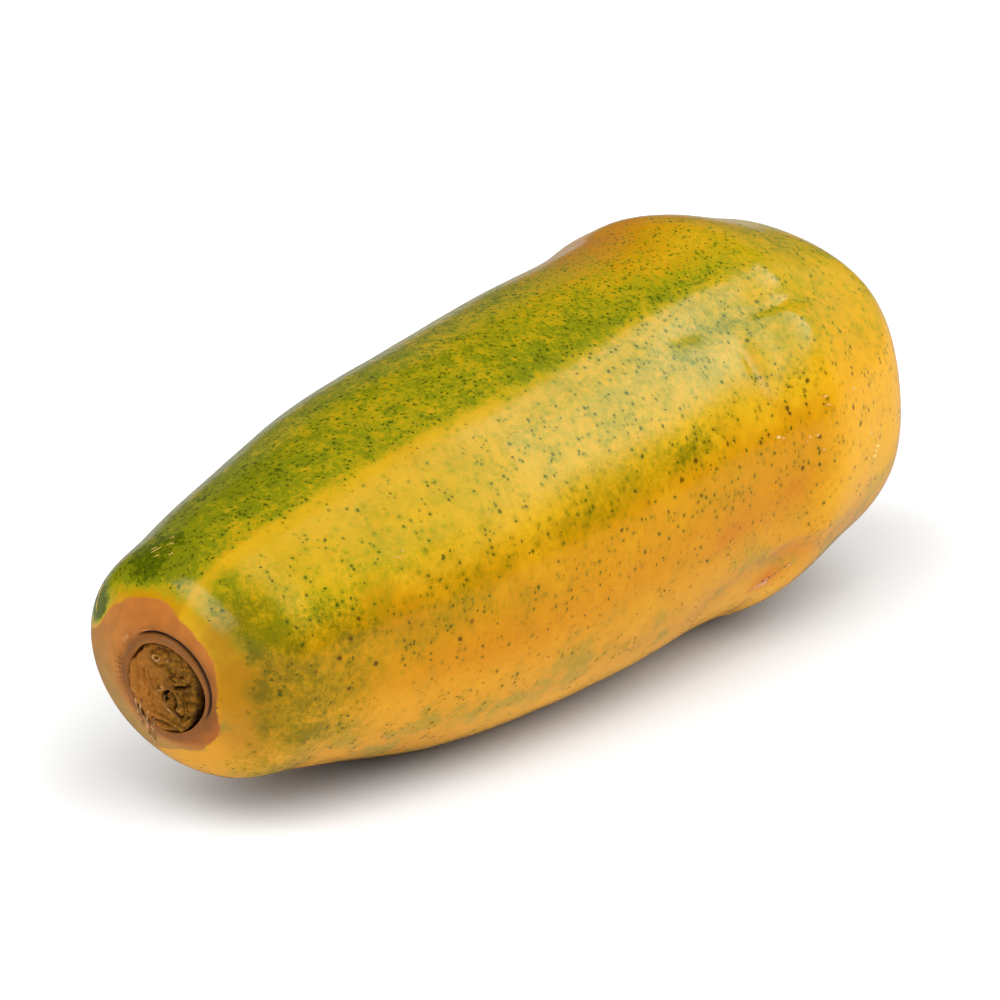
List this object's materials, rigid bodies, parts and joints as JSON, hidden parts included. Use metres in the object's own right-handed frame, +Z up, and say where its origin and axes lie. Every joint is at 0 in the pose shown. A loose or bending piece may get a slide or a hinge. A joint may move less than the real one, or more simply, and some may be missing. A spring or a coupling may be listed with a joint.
{
  "type": "papaya",
  "caption": "Whole ripe papaya lying on its side on a small flat spot, with the dry stub of its stalk in the socket at its narrow end.",
  "frame": {"origin": "on the surface that the fruit rests on, under the middle of its box", "axes": "+X from the stalk end towards the blossom end, level; +Z up; +Y across the fruit"},
  "size_m": [0.2796, 0.1126, 0.1127],
  "materials": {
    "skin": "smooth waxy skin, yellow to orange with green along the back, finely speckled",
    "dry_stalk": "dry, dull and wrinkled, brown to olive"
  },
  "bodies": {
    "root": {"fruit": "skin", "stalk_stub": "dry_stalk"}
  },
  "joints": []
}
